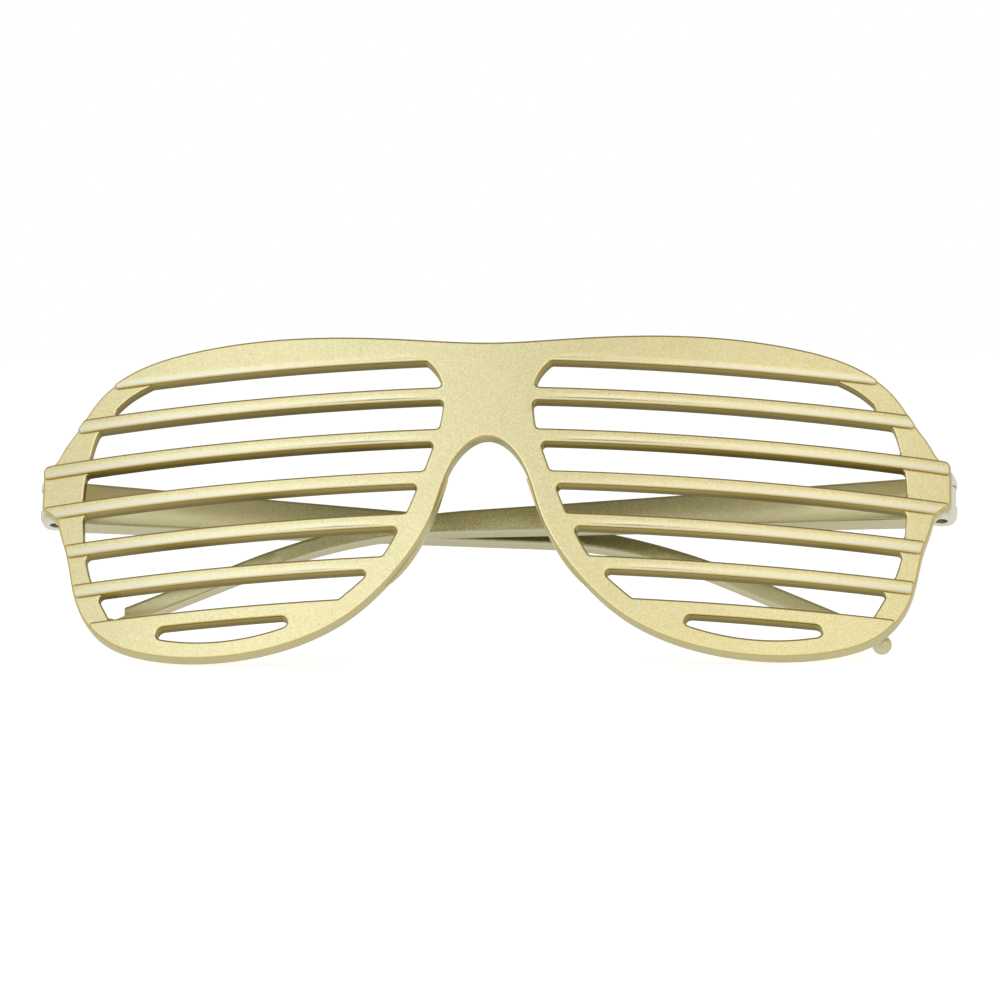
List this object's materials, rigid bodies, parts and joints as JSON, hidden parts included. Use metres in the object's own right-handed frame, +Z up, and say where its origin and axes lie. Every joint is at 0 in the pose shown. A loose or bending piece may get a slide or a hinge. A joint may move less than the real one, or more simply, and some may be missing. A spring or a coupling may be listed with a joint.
{
  "type": "novelty slatted eyeglass frame",
  "caption": "Slatted novelty glasses: wrapped one-piece front with louvred eyes in place of lenses, and two folding ball-tipped temples.",
  "frame": {"origin": "centre of the bounding box at the surface that the folded glasses stand on", "axes": "+X to the viewer's right across the front, +Z up, the front's face towards -Y and leaning back by 20.7 degrees, temples folded behind it"},
  "size_m": [0.152, 0.0374, 0.0533],
  "materials": {
    "metallic_paint_on_plastic": "pale champagne metallic paint on moulded plastic, satin",
    "steel_screw": "dull zinc-plated steel"
  },
  "bodies": {
    "front": {"front_frame": "metallic_paint_on_plastic", "left_hinge_screw": "steel_screw", "right_hinge_screw": "steel_screw"},
    "left_temple": {"left_temple": "metallic_paint_on_plastic"},
    "right_temple": {"right_temple": "metallic_paint_on_plastic"}
  },
  "joints": [
    {"name": "left_temple_fold", "type": "hinge", "parent": "front", "child": "left_temple", "pos_m": [-0.0733, 0.01204, 0.02586], "axis": [0, 0.3535, 0.9354], "range_deg": [0, 85.5]},
    {"name": "right_temple_fold", "type": "hinge", "parent": "front", "child": "right_temple", "pos_m": [0.0733, 0.01204, 0.02586], "axis": [0, -0.3535, -0.9354], "range_deg": [0, 90]}
  ]
}
